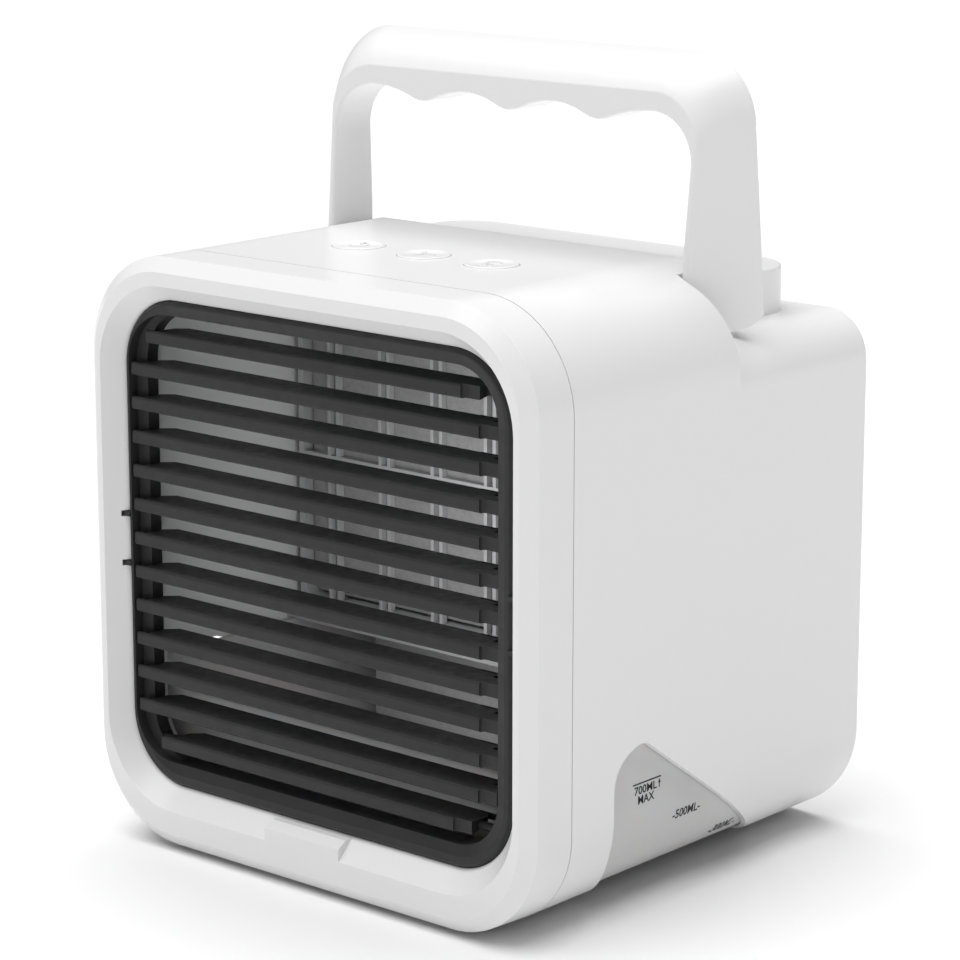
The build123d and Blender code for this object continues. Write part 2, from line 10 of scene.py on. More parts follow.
import bmesh
import bpy
from bpy.props import FloatProperty, FloatVectorProperty, PointerProperty
from bpy.types import Operator, Panel, PropertyGroup
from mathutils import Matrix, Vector

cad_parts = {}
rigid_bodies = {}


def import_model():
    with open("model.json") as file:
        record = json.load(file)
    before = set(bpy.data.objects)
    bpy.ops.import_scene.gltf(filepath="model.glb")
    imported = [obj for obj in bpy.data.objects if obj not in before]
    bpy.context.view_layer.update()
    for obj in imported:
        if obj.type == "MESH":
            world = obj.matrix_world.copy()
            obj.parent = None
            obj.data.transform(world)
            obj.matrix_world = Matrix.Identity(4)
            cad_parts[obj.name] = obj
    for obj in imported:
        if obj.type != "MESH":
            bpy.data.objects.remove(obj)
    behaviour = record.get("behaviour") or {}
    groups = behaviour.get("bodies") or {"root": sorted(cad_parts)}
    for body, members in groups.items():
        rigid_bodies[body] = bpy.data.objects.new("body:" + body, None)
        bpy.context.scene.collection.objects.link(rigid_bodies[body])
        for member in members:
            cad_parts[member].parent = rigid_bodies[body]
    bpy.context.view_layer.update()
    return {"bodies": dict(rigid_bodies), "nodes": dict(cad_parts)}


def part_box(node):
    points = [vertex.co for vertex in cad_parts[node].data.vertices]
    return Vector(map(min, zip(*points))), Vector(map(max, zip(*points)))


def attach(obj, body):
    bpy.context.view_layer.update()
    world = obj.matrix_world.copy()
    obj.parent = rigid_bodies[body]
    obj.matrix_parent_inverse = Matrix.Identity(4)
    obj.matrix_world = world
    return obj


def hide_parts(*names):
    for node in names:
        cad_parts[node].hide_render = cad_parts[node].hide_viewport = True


bl_info = {
    "name": "Evaporative Air Cooler",
    "version": (1, 0, 0),
    "blender": (4, 5, 0),
    "location": "View3D > Sidebar > Air Cooler",
    "description": "Finished pieces, materials and studio of a small evaporative air cooler",
    "category": "Object",
}

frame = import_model()
bpy.ops.object.select_all(action="DESELECT")

MM = 0.001
TANK_LOW, TANK_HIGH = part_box("water_tank")
FRONT_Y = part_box("front_bezel")[0].y
UNDERSIDE_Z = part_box("main_housing")[0].z
BUTTONS = ("power_button", "speed_button", "light_button")


# ---------------------------------------------------------------- settings


def tint(label, about, default):
    """A colour that a user can change."""
    return FloatVectorProperty(
        name=label, description=about, subtype="COLOR", size=3, min=0, max=1, default=default
    )


def length(label, about, default):
    """A size in metres that a user can change."""
    return FloatProperty(
        name=label, description=about, default=default, min=0, unit="LENGTH", subtype="DISTANCE"
    )


class CoolerColours(PropertyGroup):
    """Colours of the cooler's mouldings and fittings."""

    casing: tint("Casing", "Gloss white of the casing, bezel and handle", (0.88, 0.88, 0.88))
    louvre: tint("Louvres", "Charcoal of the louvres and their frame", (0.029, 0.029, 0.0303))
    inner: tint("Air path", "Grey of the filter cassette and floor", (0.50, 0.50, 0.51))
    tank: tint("Tank", "Smoky grey of the water tank", (0.69, 0.69, 0.69))
    print_ink: tint("Print", "Ink of the level marks", (0.004, 0.004, 0.004))
    # The felt's grey is painted shade: the felt is paler, and is darkened to the shade inside the
    # casing.
    felt: tint("Felt", "Grey felt of the wick and pads", (0.33, 0.33, 0.33))
    fan: tint("Fan", "Satin black of the fan and its shroud", (0.03, 0.03, 0.032))
    rubber: tint("Rubber", "Dark rubber of the feet", (0.035, 0.035, 0.036))
    board: tint("Board", "Solder mask of the control board", (0.01, 0.11, 0.04))
    steel: tint("Steel", "Plated steel of the motor, shaft and screws", (0.58, 0.58, 0.59))


class CoolerSizes(PropertyGroup):
    """Sizes of the details that are added round the frame."""

    cap_radius: length("Button radius", "Radius of a button's cap", 7.68 * MM)
    cap_rounding: length("Button edge", "Rounding of a cap's top edge", 0.6 * MM)
    cap_dish: length("Button dish", "Depth of the dish in a cap", 0.16 * MM)
    icon_relief: length("Icon relief", "Height of the moulded symbols over the dish", 0.22 * MM)
    icon_line: length("Icon line", "Width of the strokes in the symbols", 0.8 * MM)
    mark_relief: length("Print thickness", "Thickness of the printed level marks", 0.05 * MM)
    foot_radius: length("Foot radius", "Radius of a rubber foot", 6.0 * MM)
    felt_nap: length("Felt nap", "How far the felt's surface wanders", 0.12 * MM)


class CoolerStudio(PropertyGroup):
    """Camera and light of the studio."""

    lens: FloatProperty(
        name="Lens", description="Focal length of the camera", default=126.4, min=10, unit="CAMERA"
    )
    sky: FloatProperty(
        name="Sky", description="Strength of the even surround", default=0.22, min=0
    )
    sun: FloatProperty(
        name="Sun", description="Strength of the soft light overhead", default=3.25, min=0
    )
    front_light: FloatProperty(
        name="Front light",
        description="Power of the soft box in front",
        default=0.25,
        min=0,
        unit="POWER",
    )
    inner_light: FloatProperty(
        name="Inner light",
        description="Power of the upper lamp behind the louvres",
        default=0.024,
        min=0,
        unit="POWER",
    )
    floor_size: length("Floor", "Side of the studio's floor", 14.0)


# ---------------------------------------------------------------- materials

# The values that a noise pattern mostly keeps between
PATTERN_RANGE = (0.3, 0.7)


def node(tree, kind, values=None, **settings):
    """A shader node with its input values and settings."""
    made = tree.nodes.new(kind)
    for name, value in settings.items():
        setattr(made, name, value)
    for name, value in (values or {}).items():
        made.inputs[name].default_value = value
    return made


def shader_for(name, colour, values=None):
    """A new material and the parts that its surface is built from."""
    material = bpy.data.materials.new(name)
    material.use_nodes = True
    tree = material.node_tree
    tree.nodes.clear()
    inputs = {"Base Color": (*colour, 1), **(values or {})}
    surface = node(tree, "ShaderNodeBsdfPrincipled", inputs)
    output = node(tree, "ShaderNodeOutputMaterial")
    tree.links.new(surface.outputs["BSDF"], output.inputs["Surface"])
    place = node(tree, "ShaderNodeTexCoord")
    return material, tree, surface, place.outputs["Object"]


def stretched(tree, place, scale):
    """The place with each axis scaled, for grain that runs one way."""
    mapping = node(tree, "ShaderNodeMapping", {"Scale": scale})
    tree.links.new(place, mapping.inputs["Vector"])
    return mapping.outputs["Vector"]


def noise(tree, place, scale, detail, roughness=0.5):
    """A noise pattern with a scale in cells to the metre."""
    pattern = node(
        tree, "ShaderNodeTexNoise", {"Scale": scale, "Detail": detail, "Roughness": roughness}
    )
    tree.links.new(place, pattern.inputs["Vector"])
    return pattern.outputs["Fac"]


def cells(tree, place, scale):
    """Fine rounded cells, as spark erosion leaves on a mould."""
    pattern = node(tree, "ShaderNodeTexVoronoi", {"Scale": scale})
    tree.links.new(place, pattern.inputs["Vector"])
    return pattern.outputs["Distance"]


def mottle(tree, surface, pattern, colour, spread):
    """Slight light and dark drift in the colour."""
    ramp = node(tree, "ShaderNodeValToRGB")
    stops = ramp.color_ramp.elements
    for stop, position, gain in zip(stops, PATTERN_RANGE, (1 - spread, 1 + spread)):
        stop.position = position
        stop.color = (*[min(1.0, channel * gain) for channel in colour], 1)
    tree.links.new(pattern, ramp.inputs["Fac"])
    tree.links.new(ramp.outputs["Color"], surface.inputs["Base Color"])


def sheen_range(tree, surface, pattern, low, high):
    """Roughness that drifts between two values."""
    darkest, lightest = PATTERN_RANGE
    spread = node(
        tree,
        "ShaderNodeMapRange",
        {"From Min": darkest, "From Max": lightest, "To Min": low, "To Max": high},
    )
    tree.links.new(pattern, spread.inputs["Value"])
    tree.links.new(spread.outputs["Result"], surface.inputs["Roughness"])


def relief(tree, surface, *layers):
    """Bumps laid over each other, each with a pattern, a strength and a depth in metres."""
    below = None
    for layer in layers:
        values = {"Strength": layer["strength"], "Distance": layer["depth"]}
        bump = node(tree, "ShaderNodeBump", values)
        tree.links.new(layer["pattern"], bump.inputs["Height"])
        if below:
            tree.links.new(below, bump.inputs["Normal"])
        below = bump.outputs["Normal"]
    tree.links.new(below, surface.inputs["Normal"])


def gloss_white():
    """Casing plastic: gloss white with a barely visible orange peel."""
    colour = bpy.context.scene.cooler_colours.casing
    material, tree, surface, place = shader_for("gloss_white_moulding", colour, {"IOR": 1.48})
    mottle(tree, surface, noise(tree, place, scale=6, detail=1), colour, spread=0.0008)
    sheen_range(tree, surface, noise(tree, place, scale=4, detail=1), low=0.277, high=0.283)
    peel = noise(tree, place, scale=2600, detail=2)
    relief(tree, surface, {"pattern": peel, "strength": 0.10, "depth": 0.02 * MM})
    return material


def charcoal():
    """Louvre plastic: charcoal with a fine spark-eroded grain."""
    colour = bpy.context.scene.cooler_colours.louvre
    material, tree, surface, place = shader_for(
        "charcoal_moulding", colour, {"IOR": 1.45, "Specular IOR Level": 0.32}
    )
    mottle(tree, surface, noise(tree, place, scale=140, detail=5), colour, spread=0.07)
    sheen_range(tree, surface, noise(tree, place, scale=320, detail=4), low=0.42, high=0.54)
    relief(
        tree,
        surface,
        {"pattern": cells(tree, place, scale=2400), "strength": 0.22, "depth": 0.05 * MM},
        {"pattern": noise(tree, place, scale=900, detail=4), "strength": 0.12, "depth": 0.06 * MM},
    )
    return material


def air_path_grey():
    """Inner mouldings: plain satin grey with flow lines."""
    colour = bpy.context.scene.cooler_colours.inner
    material, tree, surface, place = shader_for("air_path_grey", colour)
    flow = noise(tree, stretched(tree, place, (1, 1, 4)), scale=70, detail=4)
    mottle(tree, surface, flow, colour, spread=0.05)
    sheen_range(tree, surface, noise(tree, place, scale=200, detail=3), low=0.45, high=0.6)
    grain = noise(tree, place, scale=1400, detail=3)
    relief(tree, surface, {"pattern": grain, "strength": 0.15, "depth": 0.05 * MM})
    return material


def smoky_tank():
    """Tank plastic: smoky and cloudy, with light bleeding through the wall."""
    colour = bpy.context.scene.cooler_colours.tank
    material, tree, surface, place = shader_for(
        "smoky_translucent_tank",
        colour,
        {
            "IOR": 1.49,
            "Transmission Weight": 0.12,
            "Subsurface Weight": 0.15,
            "Subsurface Scale": 4 * MM,
        },
    )
    mottle(tree, surface, noise(tree, place, scale=34, detail=4), colour, spread=0.03)
    sheen_range(tree, surface, noise(tree, place, scale=90, detail=4), low=0.38, high=0.5)
    flow = noise(tree, stretched(tree, place, (1, 1, 3)), scale=40, detail=2)
    grain = noise(tree, place, scale=1900, detail=2)
    relief(
        tree,
        surface,
        {"pattern": flow, "strength": 0.1, "depth": 0.5 * MM},
        {"pattern": grain, "strength": 0.12, "depth": 0.04 * MM},
    )
    return material


def printed_ink():
    """Pad-printed ink: near black, a little uneven in cover."""
    colour = bpy.context.scene.cooler_colours.print_ink
    material, tree, surface, place = shader_for("level_mark_ink", colour)
    mottle(tree, surface, noise(tree, place, scale=2200, detail=4), colour, spread=0.3)
    sheen_range(tree, surface, noise(tree, place, scale=1500, detail=3), low=0.5, high=0.68)
    grain = noise(tree, place, scale=3000, detail=2)
    relief(tree, surface, {"pattern": grain, "strength": 0.2, "depth": 0.02 * MM})
    return material


def wick_felt():
    """Felt: matted fibres with a soft nap, its grey darkened as painted shade."""
    colour = bpy.context.scene.cooler_colours.felt
    material, tree, surface, place = shader_for(
        "grey_felt", colour, {"Roughness": 0.95, "Sheen Weight": 0.35, "Sheen Roughness": 0.5}
    )
    lengthways = noise(
        tree, stretched(tree, place, (1, 1, 7)), scale=900, detail=6, roughness=0.7
    )
    across = noise(tree, stretched(tree, place, (1, 6, 1)), scale=700, detail=6, roughness=0.7)
    mottle(tree, surface, across, colour, spread=0.14)
    relief(
        tree,
        surface,
        {"pattern": lengthways, "strength": 0.7, "depth": 0.3 * MM},
        {"pattern": across, "strength": 0.5, "depth": 0.25 * MM},
    )
    return material


def satin_black():
    """Fan plastic: satin black, slightly dusty in colour."""
    colour = bpy.context.scene.cooler_colours.fan
    material, tree, surface, place = shader_for("satin_black_moulding", colour)
    mottle(tree, surface, noise(tree, place, scale=110, detail=5), colour, spread=0.12)
    sheen_range(tree, surface, noise(tree, place, scale=180, detail=4), low=0.32, high=0.46)
    grain = noise(tree, place, scale=1600, detail=3)
    relief(tree, surface, {"pattern": grain, "strength": 0.14, "depth": 0.04 * MM})
    return material


def turned_steel():
    """Motor can and shaft: bright plated steel with marks running round it."""
    colour = bpy.context.scene.cooler_colours.steel
    material, tree, surface, place = shader_for("turned_steel", colour, {"Metallic": 1.0})
    rings = noise(tree, stretched(tree, place, (1, 30, 1)), scale=160, detail=5)
    mottle(tree, surface, rings, colour, spread=0.06)
    sheen_range(tree, surface, rings, low=0.22, high=0.38)
    relief(tree, surface, {"pattern": rings, "strength": 0.1, "depth": 0.03 * MM})
    return material


def zinc_plate():
    """Screw heads and hinge pins: zinc plate with a fine spangle."""
    colour = bpy.context.scene.cooler_colours.steel
    material, tree, surface, place = shader_for("zinc_plate", colour, {"Metallic": 1.0})
    spangle = cells(tree, place, scale=1300)
    mottle(tree, surface, spangle, colour, spread=0.09)
    sheen_range(tree, surface, spangle, low=0.26, high=0.44)
    grain = noise(tree, place, scale=2600, detail=3)
    relief(tree, surface, {"pattern": grain, "strength": 0.16, "depth": 0.02 * MM})
    return material


def solder_mask():
    """Circuit board: green mask with the copper tracks just showing under it."""
    colour = bpy.context.scene.cooler_colours.board
    material, tree, surface, place = shader_for("solder_mask", colour, {"Coat Weight": 0.4})
    bricks = node(tree, "ShaderNodeTexBrick", {"Scale": 260, "Mortar Size": 0.12})
    tree.links.new(place, bricks.inputs["Vector"])
    tracks = bricks.outputs["Fac"]
    mottle(tree, surface, tracks, colour, spread=0.35)
    sheen_range(tree, surface, noise(tree, place, scale=300, detail=2), low=0.25, high=0.4)
    relief(tree, surface, {"pattern": tracks, "strength": 0.3, "depth": 0.05 * MM})
    return material


def foot_rubber():
    """Feet: matt rubber with moulding pits."""
    colour = bpy.context.scene.cooler_colours.rubber
    material, tree, surface, place = shader_for("matt_rubber", colour, {"Sheen Weight": 0.1})
    mottle(tree, surface, noise(tree, place, scale=500, detail=5), colour, spread=0.15)
    sheen_range(tree, surface, noise(tree, place, scale=700, detail=4), low=0.7, high=0.85)
    pits = cells(tree, place, scale=1700)
    relief(tree, surface, {"pattern": pits, "strength": 0.3, "depth": 0.1 * MM})
    return material


def material_of(recipe):
    """A recipe's material, made the first time that a piece asks for it."""
    made = bpy.context.scene.get("cooler_made", {})
    name = made.get(recipe.__name__)
    if name is None:
        name = recipe().name
        bpy.context.scene["cooler_made"] = {**dict(made), recipe.__name__: name}
    return bpy.data.materials[name]


LOUVRES = tuple(name for name in frame["bodies"] if name.startswith("louvre_"))
FAN_HOUSING = ("fan_shroud", "motor_bracket", "fan_impeller")
BLACK_FITTINGS = ("power_socket", "button_switches")

# Which finish each piece of the frame carries, where its own mesh is kept
KEPT_FINISHES = (
    (gloss_white, ("front_bezel", "main_housing", "rear_panel", "handle")),
    (charcoal, ("louvre_frame", *LOUVRES)),
    (air_path_grey, ("divider_floor", "filter_cassette")),
    (smoky_tank, ("water_tank",)),
    (satin_black, (*FAN_HOUSING, *BLACK_FITTINGS)),
    (turned_steel, ("fan_motor", "fan_shaft")),
    (zinc_plate, ("handle_pins",)),
    (solder_mask, ("control_board",)),
)


# ---------------------------------------------------------------- modelling helpers

# How near points are to count as at one place, and as one point, in metres
NEAR = 1e-6
WELD = 1e-7
# How far along an axis the normal of a face that looks along it reaches
SQUARE_ON = 0.99


def take(piece):
    """Select one piece and nothing else."""
    if bpy.context.object and bpy.context.object.mode != "OBJECT":
        bpy.ops.object.mode_set(mode="OBJECT")
    bpy.ops.object.select_all(action="DESELECT")
    piece.select_set(True)
    bpy.context.view_layer.objects.active = piece


def open_mesh(kind="FACE"):
    """Enter edit mode with nothing selected."""
    bpy.ops.object.mode_set(mode="EDIT")
    bpy.ops.mesh.select_mode(type=kind)
    bpy.ops.mesh.select_all(action="DESELECT")


def close_mesh():
    """Leave edit mode."""
    bpy.ops.object.mode_set(mode="OBJECT")


def chosen_points():
    """Where the selected vertices of the mesh being edited are."""
    mesh = bmesh.from_edit_mesh(bpy.context.object.data)
    return [vertex.co.copy() for vertex in mesh.verts if vertex.select]


def choose(test, kind="faces"):
    """In edit mode, select only the faces, edges or vertices that pass a test."""
    bpy.ops.mesh.select_all(action="DESELECT")
    data = bpy.context.object.data
    mesh = bmesh.from_edit_mesh(data)
    for part in getattr(mesh, kind):
        if test(part):
            part.select_set(True)
    bmesh.update_edit_mesh(data)


def facing_up(face):
    """True for a face that looks straight up."""
    return face.normal.z > SQUARE_ON


def facing_down(face):
    """True for a face that looks straight down."""
    return face.normal.z < -SQUARE_ON


def apply_place():
    """Put the place, turn and size of what is selected into its mesh."""
    bpy.ops.object.transform_apply(location=True, rotation=True, scale=True)


def heal():
    """In edit mode, merge doubled points and turn every face outwards."""
    bpy.ops.mesh.select_all(action="SELECT")
    bpy.ops.mesh.remove_doubles(threshold=WELD)
    bpy.ops.mesh.normals_make_consistent(inside=False)


def settle(piece, name, recipe, body, replaced=(), angle=35):
    """Give a finished piece its name, shading, material and body, and hide what it replaces."""
    take(piece)
    apply_place()
    bpy.ops.object.shade_smooth_by_angle(angle=math.radians(angle))
    piece.name = name
    piece.data.name = name
    piece.data.materials.clear()
    piece.data.materials.append(material_of(recipe))
    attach(piece, body)
    if replaced:
        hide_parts(*replaced)


def copies(piece, moves):
    """The piece, and a copy of it with a mesh of its own at each move away from it."""
    made = [piece]
    for move in moves:
        take(piece)
        bpy.ops.object.duplicate(linked=False)
        bpy.ops.transform.translate(value=move)
        apply_place()
        made.append(bpy.context.object)
    return made


def joined(pieces):
    """Join pieces into the first of them."""
    take(pieces[0])
    for piece in pieces[1:]:
        piece.select_set(True)
    bpy.ops.object.join()
    return bpy.context.object


def add_block(centre, size):
    """A plain block, for a stroke of a symbol or for a cutter."""
    bpy.ops.mesh.primitive_cube_add(size=1, location=centre, scale=size)
    apply_place()
    return bpy.context.object


# ---------------------------------------------------------------- buttons

CAP_HEIGHT = 3.3 * MM
CAP_POINTS = 96
CAP_RIM = 0.9 * MM
# How much of the cap's rounding its bevel takes, so that it stops short of the rim
CAP_BEVEL = 0.98
DISH_SLOPE = 0.35 * MM
FLANGE_HEIGHT = 1.2 * MM
STEM_RADIUS = 2.0 * MM
STEM_LENGTH = 3.6 * MM
# The finer strokes of a symbol, as a share of its line
FINE_STROKE = 0.8


def add_arc(centre, radius, line, height, start, sweep, steps=40):
    """A raised stroke that runs round part of a circle."""
    corner = Vector((radius * math.cos(start), radius * math.sin(start), 0))
    bpy.ops.mesh.primitive_plane_add(size=1, rotation=(math.pi / 2, 0, start))
    stroke = bpy.context.object
    stroke.scale = (line, height, 1)
    stroke.location = Vector(centre) + corner
    apply_place()
    open_mesh()
    bpy.ops.mesh.select_all(action="SELECT")
    bpy.ops.mesh.spin(steps=steps, angle=sweep, center=centre, axis=(0, 0, 1))
    heal()
    close_mesh()
    return stroke


def add_petal(centre, turn, height):
    """One blade of the fan symbol, swept to one side of its root."""
    radius, stretch, outward, sweep = 1.05 * MM, (1.75, 0.9, 1), 2.15 * MM, 0.5 * MM
    bpy.ops.mesh.primitive_circle_add(
        vertices=28, radius=radius, fill_type="NGON", location=centre
    )
    petal = bpy.context.object
    petal.scale = stretch
    petal.location = Vector(centre) + Vector((outward, sweep, -height / 2))
    apply_place()
    open_mesh()
    bpy.ops.mesh.select_all(action="SELECT")
    bpy.ops.mesh.extrude_region_move(TRANSFORM_OT_translate={"value": (0, 0, height)})
    bpy.ops.mesh.select_all(action="SELECT")
    bpy.ops.transform.rotate(value=turn, orient_axis="Z", center_override=centre)
    bpy.ops.mesh.normals_make_consistent(inside=False)
    close_mesh()
    return petal


def power_symbol(centre, line, height):
    """A broken ring with a bar in its gap."""
    ring_radius, bar_middle, bar_length = 2.7 * MM, 2.3 * MM, 2.9 * MM
    ring = add_arc(centre, ring_radius, line, height, math.radians(125), math.radians(290))
    bar = add_block(centre + Vector((0, bar_middle, 0)), (line, bar_length, height))
    return [ring, bar]


def fan_symbol(centre, line, height):
    """Three swept blades round a hub."""
    blades = [add_petal(centre, math.radians(turn), height) for turn in (0, 120, 240)]
    bpy.ops.mesh.primitive_cylinder_add(
        vertices=24, radius=line * FINE_STROKE, depth=height, location=centre
    )
    return [*blades, bpy.context.object]


def light_symbol(centre, line, height):
    """A lamp: an open ring over two bars."""
    bulb_rise, bulb_radius = 0.7 * MM, 2.2 * MM
    bulb = centre + Vector((0, bulb_rise, 0))
    ring = add_arc(bulb, bulb_radius, line, height, math.radians(-52), math.radians(284))
    bars = [
        add_block(centre + Vector((0, -drop, 0)), (width, line * FINE_STROKE, height))
        for drop, width in ((1.9 * MM, 3.0 * MM), (3.1 * MM, 2.0 * MM))
    ]
    return [ring, *bars]


def add_cap(low, high, sizes):
    """A button with a rounded cap, a dish in it, and the flange and stem below."""
    centre = (low + high) / 2
    flange = (high.x - low.x) / 2
    cap_base = high.z - CAP_HEIGHT
    bpy.ops.mesh.primitive_cylinder_add(
        vertices=CAP_POINTS,
        radius=sizes.cap_radius,
        depth=high.z - cap_base,
        location=(centre.x, centre.y, (high.z + cap_base) / 2),
    )
    cap = bpy.context.object
    apply_place()
    open_mesh()
    choose(facing_up)
    bpy.ops.mesh.inset(thickness=sizes.cap_rounding)
    bpy.ops.mesh.inset(thickness=CAP_RIM)
    bpy.ops.mesh.inset(thickness=DISH_SLOPE, depth=-sizes.cap_dish)
    bpy.ops.mesh.select_mode(type="EDGE")
    choose(
        lambda edge: all(
            abs((point.co.xy - centre.xy).length - sizes.cap_radius) < NEAR
            and point.co.z > high.z - NEAR
            for point in edge.verts
        ),
        "edges",
    )
    bpy.ops.mesh.bevel(offset=sizes.cap_rounding * CAP_BEVEL, segments=5)
    # The flange that keeps the button in, then its stem
    bpy.ops.mesh.select_mode(type="FACE")
    for radius, drop in ((flange, FLANGE_HEIGHT), (STEM_RADIUS, STEM_LENGTH)):
        choose(lambda face: facing_down(face) and len(face.verts) == CAP_POINTS)
        now = max((point.xy - centre.xy).length for point in chosen_points())
        bpy.ops.mesh.extrude_region_move()
        bpy.ops.transform.resize(
            value=(radius / now, radius / now, 1), center_override=tuple(centre)
        )
        bpy.ops.mesh.extrude_region_move(TRANSFORM_OT_translate={"value": (0, 0, -drop)})
    close_mesh()
    return cap


class COOLER_OT_buttons(Operator):
    """Model the three buttons with their dished caps and moulded symbols"""

    bl_idname = "cooler.buttons"
    bl_label = "Buttons"

    def execute(self, context):
        sizes = context.scene.cooler_sizes
        boxes = [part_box(name) for name in BUTTONS]
        centres = [(low + high) / 2 for low, high in boxes]
        first = add_cap(*boxes[0], sizes)
        caps = copies(first, [centre - centres[0] for centre in centres[1:]])
        symbols = (power_symbol, fan_symbol, light_symbol)
        for name, cap, symbol, (low, high), centre in zip(BUTTONS, caps, symbols, boxes, centres):
            dish = Vector((centre.x, centre.y, high.z - sizes.cap_dish))
            marks = symbol(dish, sizes.icon_line, 2 * sizes.icon_relief)
            cap = joined([cap, *marks])
            settle(cap, f"{name}_cap", gloss_white, name, (name,))
        return {"FINISHED"}


# ---------------------------------------------------------------- tank marks

# Each mark: its text, where it starts and ends behind the front,
# the height of its foot over the underside, and its letters' height, all in mm
LEVEL_MARKS = (
    ("700ML", 47.3, 57.1, 32.1, 2.4),
    ("MAX", 48.9, 56.0, 29.3, 2.4),
    ("-500ML-", 64.9, 77.2, 20.8, 2.7),
    ("-300ML-", 89.2, 101.3, 8.9, 3.9),
)
# Where the rule over the top mark starts and ends, and its lower and upper edge, mm
LEVEL_RULE = (46.6, 58.9, 35.0, 35.4)
# Where the arrow's middle is, its foot and its tip, mm
ARROW = (58.2, 32.1, 34.7)
ARROW_HALF = 0.55
TANK_CORNER = 24.5 * MM
# How much of an ink layer's thickness lies between the tank's wall and its inner face
INK_GAP = 0.25
# Flat marks are made at a letter height of 1, so these are shares of it
LETTER_BOLDNESS = 0.014
LETTER_THICKNESS = 0.02
SHAFT_MIDDLE, SHAFT_SIZE = -0.1, (0.16, 0.8, 0.05)
HEAD_MIDDLE, HEAD_REACH, TIP_RAISE = 0.3, 0.34, 0.12


def on_wall(side, setback, base, rise, lift):
    """A point on the tank's outer wall, rise above a base height along the wall, lifted off it."""
    top_of_curve = TANK_LOW.z + TANK_CORNER
    level = base + UNDERSIDE_Z
    along = level - top_of_curve
    if along < 0:
        along = -math.asin(-along / TANK_CORNER) * TANK_CORNER
    along += rise
    turn = max(0.0, -along / TANK_CORNER)
    reach = TANK_HIGH.x - TANK_CORNER + (TANK_CORNER + lift) * math.cos(turn)
    height = top_of_curve - (TANK_CORNER + lift) * math.sin(turn) + max(0.0, along)
    return Vector((side * reach, FRONT_Y + setback, height))


def wrap(piece, side, start, end, base, height, thick):
    """Lay a flat lettering mesh on the tank's wall, filling a given length and height."""
    points = [vertex.co.copy() for vertex in piece.data.vertices]
    low = Vector([min(point[axis] for point in points) for axis in range(3)])
    span = Vector([max(point[axis] for point in points) for axis in range(3)]) - low
    for vertex, point in zip(piece.data.vertices, points):
        across = (point.x - low.x) / span.x
        if side < 0:
            across = 1 - across
        rise = (point.y - low.y) / span.y * height
        lift = (INK_GAP + (1 - INK_GAP) * (point.z - low.z) / span.z) * thick
        vertex.co = on_wall(side, start + (end - start) * across, base, rise, lift)


def add_lettering(text):
    """Plain sans lettering, a little bold, as a flat mesh."""
    bpy.ops.object.text_add(location=(0, 0, 0))
    lettering = bpy.context.object
    lettering.data.body = text
    lettering.data.size = 1.0
    lettering.data.offset = LETTER_BOLDNESS
    lettering.data.extrude = LETTER_THICKNESS
    lettering.data.resolution_u = 3
    bpy.ops.object.convert(target="MESH")
    return bpy.context.object


def add_rule():
    """A straight printed rule as a flat mesh, divided along its length."""
    bpy.ops.mesh.primitive_cube_add(size=1)
    rule = bpy.context.object
    open_mesh("EDGE")
    lengthways = 0.5
    choose(lambda edge: abs((edge.verts[0].co - edge.verts[1].co).x) > lengthways, "edges")
    bpy.ops.mesh.subdivide(number_cuts=6)
    close_mesh()
    return rule


def add_arrow():
    """An upright arrow as a flat mesh: a shaft and a head."""
    shaft = add_block((0, SHAFT_MIDDLE, 0), SHAFT_SIZE)
    bpy.ops.mesh.primitive_cylinder_add(
        vertices=3, radius=HEAD_REACH, depth=SHAFT_SIZE[2], location=(0, HEAD_MIDDLE, 0)
    )
    head = bpy.context.object
    open_mesh("VERT")
    bpy.ops.mesh.select_all(action="SELECT")
    highest = max(point.y for point in chosen_points())
    choose(lambda vertex: vertex.co.y > highest - 0.01, "verts")
    bpy.ops.transform.translate(value=(0, TIP_RAISE, 0))
    close_mesh()
    take(head)
    apply_place()
    return joined([shaft, head])


class COOLER_OT_marks(Operator):
    """Print the generic level marks on both sides of the tank"""

    bl_idname = "cooler.marks"
    bl_label = "Level marks"

    def execute(self, context):
        thick = context.scene.cooler_sizes.mark_relief
        for side, name in ((1, "level_marks_right"), (-1, "level_marks_left")):
            marks = []
            for text, start, end, base, height in LEVEL_MARKS:
                lettering = add_lettering(text)
                wrap(lettering, side, start * MM, end * MM, base * MM, height * MM, thick)
                marks.append(lettering)
            start, end, low, high = LEVEL_RULE
            rule = add_rule()
            wrap(rule, side, start * MM, end * MM, low * MM, (high - low) * MM, thick)
            marks.append(rule)
            middle, low, high = ARROW
            if side < 0:
                middle = start + end - middle
            start, end = middle - ARROW_HALF, middle + ARROW_HALF
            arrow = add_arrow()
            wrap(arrow, side, start * MM, end * MM, low * MM, (high - low) * MM, thick)
            marks.append(arrow)
            for mark in marks:
                take(mark)
                open_mesh()
                heal()
                close_mesh()
            settle(joined(marks), name, printed_ink, "tank", angle=20)
        return {"FINISHED"}


# ---------------------------------------------------------------- felt

FELT_CUTS = 14
# The softened edge, as a share of the slab's thickness
FELT_EDGE = 0.22
FELT_CLOUD = 12 * MM


